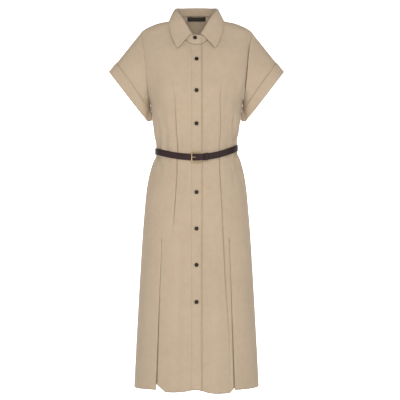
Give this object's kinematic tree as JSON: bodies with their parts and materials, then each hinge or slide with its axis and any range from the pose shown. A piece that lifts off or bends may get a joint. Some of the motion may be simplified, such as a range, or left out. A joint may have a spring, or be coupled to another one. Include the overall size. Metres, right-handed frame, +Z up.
{
  "type": "shirt dress",
  "caption": "Short-sleeved shirt dress in its worn hollow form, with folded collar, button front, pleated skirt and a buckled belt.",
  "frame": {"origin": "base of the neck, midway between the high points of the shoulders", "axes": "+Z up, -Y out of the front, +X to the wearer's left"},
  "size_m": [0.572, 0.2926, 1.2424],
  "materials": {
    "cloth": "soft matt beige with a fine nap",
    "label": "dark woven",
    "button": "dark brown, polished",
    "leather": "dark brown, smooth",
    "buckle": "pale polished brass"
  },
  "bodies": {
    "root": {"front_right": "cloth", "front_left": "cloth", "back": "cloth", "placket": "cloth", "sleeve_right": "cloth", "sleeve_left": "cloth", "cuff_right": "cloth", "cuff_left": "cloth", "collar_leaf": "cloth", "collar_stand": "cloth", "neck_label": "label", "button_1": "button", "button_2": "button", "button_3": "button", "button_4": "button", "button_5": "button", "button_6": "button", "button_7": "button", "button_collar": "button", "belt_strap": "leather", "belt_keeper": "leather", "buckle_frame": "buckle", "buckle_prong": "buckle"}
  },
  "joints": []
}
